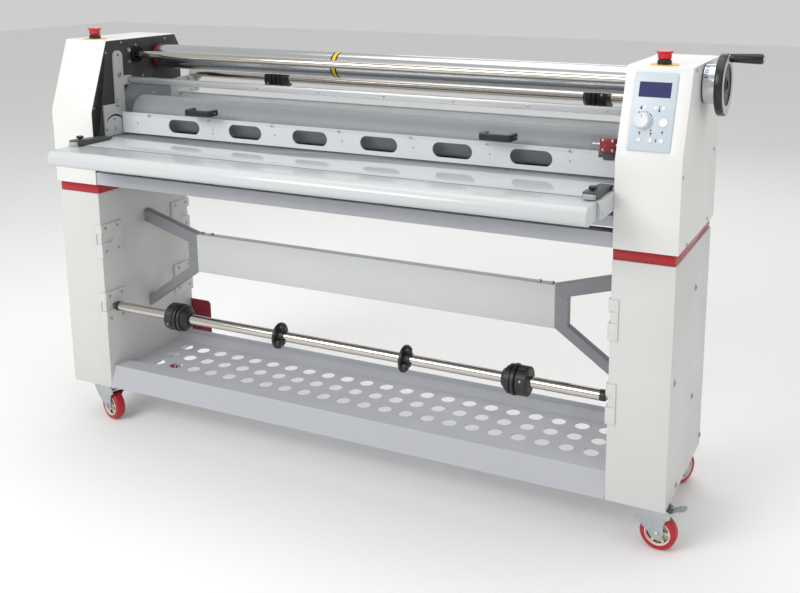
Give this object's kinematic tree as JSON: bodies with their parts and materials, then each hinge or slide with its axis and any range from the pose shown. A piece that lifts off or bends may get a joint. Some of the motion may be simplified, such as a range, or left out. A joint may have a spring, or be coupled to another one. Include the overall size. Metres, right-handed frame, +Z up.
{
  "type": "cold roll laminator",
  "caption": "Wide roll laminator: driven lower roller, lifting upper roller with handwheel, hinged guard, folding feed table, unwind and take-up shafts, braked castor stand.",
  "frame": {"origin": "on the floor, midway between the extreme faces in X and in Y", "axes": "+X along the rollers to the handwheel side, +Y from the feed table to the rear, +Z up"},
  "size_m": [1.961, 0.6639, 1.186],
  "materials": {
    "cabinet_white": "fine satin powder coat",
    "accent_red": "gloss red paint",
    "hook_red": "satin dark red paint",
    "plate_black": "satin black paint",
    "grey_paint": "satin grey powder coat",
    "panel_white": "satin pale powder coat",
    "zinc_sheet": "plain zinc plate",
    "latch_red": "satin dark red",
    "latch_grey": "moulded dark grey",
    "motor_grey": "painted casting",
    "inlet_black": "moulded black",
    "bearing_black": "blackened",
    "core_steel": "ground steel",
    "lower_rubber": "ground rubber covering",
    "upper_silicone": "ground silicone covering",
    "bright_shaft": "polished plating",
    "turned_aluminium": "fine turned",
    "wheel_black": "moulded black",
    "grip_black": "moulded black",
    "chuck_black": "moulded black",
    "rail_aluminium": "satin anodised",
    "clear_sheet": "clear acrylic",
    "guide_aluminium": "satin anodised",
    "handle_black": "moulded black",
    "estop_yellow": "satin yellow",
    "estop_red": "gloss red",
    "overlay_blue_grey": "printed film",
    "knob_grey": "moulded grey",
    "stop_red": "gloss red",
    "key_white": "gloss pale",
    "zinc_fork": "bright zinc plate",
    "castor_tread": "polyurethane tread"
  },
  "bodies": {
    "frame": {"legs": "cabinet_white", "accent_bands": "accent_red", "cover_left": "cabinet_white", "cover_right": "cabinet_white", "side_plates": "plate_black", "front_beams": "grey_paint", "stretcher_panel": "panel_white", "k_brackets": "grey_paint", "tray": "grey_paint", "roll_cradles": "panel_white", "unwind_cradles": "zinc_sheet", "side_brackets": "zinc_sheet", "feed_table": "panel_white", "table_latches": "latch_grey", "rear_cover": "panel_white", "hook_plate": "hook_red", "drive_motor": "motor_grey", "mains_inlet": "inlet_black", "shaft_bearings": "bearing_black", "handwheel_collar": "turned_aluminium", "estop_bases": "estop_yellow", "control_panel": "overlay_blue_grey"},
    "front_table": {"front_table": "panel_white"},
    "lower_roller": {"lower_roller_core": "core_steel", "lower_roller_sleeve": "lower_rubber"},
    "roller_carriage": {"bearing_blocks": "bearing_black"},
    "upper_roller": {"upper_roller_core": "core_steel", "upper_roller_sleeve": "upper_silicone"},
    "left_screw": {"lift_screw_left": "core_steel"},
    "right_screw": {"lift_screw_right": "core_steel"},
    "pressure_shaft": {"cross_shaft": "bright_shaft", "handwheel": "wheel_black"},
    "grip": {"handwheel_grip": "grip_black"},
    "liner_roll": {"liner_roll": "turned_aluminium"},
    "takeup": {"takeup_shaft": "bright_shaft", "takeup_chucks": "chuck_black"},
    "unwind": {"unwind_shaft": "bright_shaft", "unwind_chucks": "chuck_black"},
    "guard": {"guard_rail": "rail_aluminium", "guard_sheet": "clear_sheet", "guide_plate": "guide_aluminium", "guard_handles": "handle_black", "latch_block": "latch_red"},
    "estop_left": {"estop_left": "estop_red"},
    "estop_right": {"estop_right": "estop_red"},
    "speed_knob": {"speed_knob": "knob_grey"},
    "stop_button": {"stop_button": "stop_red"},
    "key_reverse": {"key_reverse": "key_white"},
    "key_forward": {"key_forward": "key_white"},
    "key_pedal": {"key_pedal": "key_white"},
    "castor_fl": {"castor_fork_fl": "zinc_fork"},
    "wheel_fl": {"castor_wheel_fl": "castor_tread"},
    "castor_fr": {"castor_fork_fr": "zinc_fork"},
    "wheel_fr": {"castor_wheel_fr": "castor_tread"},
    "castor_rl": {"castor_fork_rl": "zinc_fork"},
    "wheel_rl": {"castor_wheel_rl": "castor_tread"},
    "castor_rr": {"castor_fork_rr": "zinc_fork"},
    "wheel_rr": {"castor_wheel_rr": "castor_tread"},
    "pedal_fl": {"brake_pedal_fl": "zinc_fork"},
    "pedal_fr": {"brake_pedal_fr": "zinc_fork"}
  },
  "joints": [
    {"name": "front_table_fold", "type": "hinge", "parent": "frame", "child": "front_table", "pos_m": [-0.0655, -0.241, 0.845], "axis": [1, 0, 0], "range_deg": [0, 90]},
    {"name": "lower_roller_spin", "type": "hinge", "parent": "frame", "child": "lower_roller", "pos_m": [-0.0655, 0.048, 0.8267], "axis": [1, 0, 0], "continuous": true},
    {"name": "upper_roller_lift", "type": "slide", "parent": "frame", "child": "roller_carriage", "axis": [0, 0, 1], "range_m": [0, 0.028]},
    {"name": "upper_roller_spin", "type": "hinge", "parent": "roller_carriage", "child": "upper_roller", "pos_m": [-0.0655, 0.048, 0.9323], "axis": [1, 0, 0], "continuous": true},
    {"name": "left_screw_spin", "type": "hinge", "parent": "frame", "child": "left_screw", "pos_m": [-0.8705, 0.048, 0.9323], "axis": [0, 0, 1], "range_deg": [-2016, 0]},
    {"name": "right_screw_spin", "type": "hinge", "parent": "frame", "child": "right_screw", "pos_m": [0.7395, 0.048, 0.9323], "axis": [0, 0, 1], "range_deg": [0, 2016]},
    {"name": "handwheel_turn", "type": "hinge", "parent": "frame", "child": "pressure_shaft", "pos_m": [-0.0655, 0.048, 1.105], "axis": [1, 0, 0], "range_deg": [0, 2016]},
    {"name": "grip_spin", "type": "hinge", "parent": "pressure_shaft", "child": "grip", "pos_m": [0.9035, 0.048, 1.167], "axis": [1, 0, 0], "continuous": true},
    {"name": "liner_roll_spin", "type": "hinge", "parent": "frame", "child": "liner_roll", "pos_m": [-0.0655, 0.144, 1.092], "axis": [1, 0, 0], "continuous": true},
    {"name": "takeup_spin", "type": "hinge", "parent": "frame", "child": "takeup", "pos_m": [-0.0655, -0.114, 0.37], "axis": [1, 0, 0], "continuous": true},
    {"name": "unwind_spin", "type": "hinge", "parent": "frame", "child": "unwind", "pos_m": [-0.0655, 0.292, 1.023], "axis": [1, 0, 0], "continuous": true},
    {"name": "guard_swing", "type": "hinge", "parent": "frame", "child": "guard", "pos_m": [-0.0655, 0.005, 1.0345], "axis": [-1, 0, 0], "range_deg": [0, 105]},
    {"name": "estop_left_push", "type": "slide", "parent": "frame", "child": "estop_left", "axis": [0, 0, -1], "range_m": [0, 0.004]},
    {"name": "estop_right_push", "type": "slide", "parent": "frame", "child": "estop_right", "axis": [0, 0, -1], "range_m": [0, 0.004]},
    {"name": "speed_knob_turn", "type": "hinge", "parent": "frame", "child": "speed_knob", "pos_m": [0.7505, -0.12225, 1.03455], "axis": [0, -0.9352, 0.3542], "range_deg": [-150, 150]},
    {"name": "stop_button_push", "type": "slide", "parent": "frame", "child": "stop_button", "axis": [0, 0.9352, -0.3542], "range_m": [0, 0.0015], "stiffness_N_per_m": 200},
    {"name": "key_reverse_push", "type": "slide", "parent": "frame", "child": "key_reverse", "axis": [0, 0.9352, -0.3542], "range_m": [0, 0.0015], "stiffness_N_per_m": 200},
    {"name": "key_forward_push", "type": "slide", "parent": "frame", "child": "key_forward", "axis": [0, 0.9352, -0.3542], "range_m": [0, 0.0015], "stiffness_N_per_m": 200},
    {"name": "key_pedal_push", "type": "slide", "parent": "frame", "child": "key_pedal", "axis": [0, 0.9352, -0.3542], "range_m": [0, 0.0015], "stiffness_N_per_m": 200},
    {"name": "castor_swivel_fl", "type": "hinge", "parent": "frame", "child": "castor_fl", "pos_m": [-0.9085, -0.097, 0.12], "axis": [0, 0, 1], "continuous": true},
    {"name": "castor_roll_fl", "type": "hinge", "parent": "castor_fl", "child": "wheel_fl", "pos_m": [-0.86524, -0.1094, 0.045], "axis": [0.2756, 0.9613, 0], "continuous": true},
    {"name": "brake_pedal_fl", "type": "hinge", "parent": "castor_fl", "child": "pedal_fl", "pos_m": [-0.8441, -0.11547, 0.098], "axis": [0.2756, 0.9613, 0], "range_deg": [0, 16]},
    {"name": "castor_swivel_fr", "type": "hinge", "parent": "frame", "child": "castor_fr", "pos_m": [0.7775, -0.097, 0.12], "axis": [0, 0, 1], "continuous": true},
    {"name": "castor_roll_fr", "type": "hinge", "parent": "castor_fr", "child": "wheel_fr", "pos_m": [0.82239, -0.10014, 0.045], "axis": [0.0698, 0.9976, 0], "continuous": true},
    {"name": "brake_pedal_fr", "type": "hinge", "parent": "castor_fr", "child": "pedal_fr", "pos_m": [0.84434, -0.10167, 0.098], "axis": [0.0698, 0.9976, 0], "range_deg": [0, 16]},
    {"name": "castor_swivel_rl", "type": "hinge", "parent": "frame", "child": "castor_rl", "pos_m": [-0.9085, 0.196, 0.12], "axis": [0, 0, 1], "continuous": true},
    {"name": "castor_roll_rl", "type": "hinge", "parent": "castor_rl", "child": "wheel_rl", "pos_m": [-0.92389, 0.23829, 0.045], "axis": [-0.9397, -0.342, 0], "continuous": true},
    {"name": "castor_swivel_rr", "type": "hinge", "parent": "frame", "child": "castor_rr", "pos_m": [0.7775, 0.196, 0.12], "axis": [0, 0, 1], "continuous": true},
    {"name": "castor_roll_rr", "type": "hinge", "parent": "castor_rr", "child": "wheel_rr", "pos_m": [0.79863, 0.23573, 0.045], "axis": [-0.8829, 0.4695, 0], "continuous": true}
  ],
  "couplings": [
    {"joint": "handwheel_turn", "follows": "upper_roller_lift", "rad_per_m": 1256.6},
    {"joint": "left_screw_spin", "follows": "upper_roller_lift", "rad_per_m": -1256.6},
    {"joint": "right_screw_spin", "follows": "upper_roller_lift", "rad_per_m": 1256.6},
    {"joint": "upper_roller_spin", "follows": "lower_roller_spin", "ratio": -1}
  ]
}
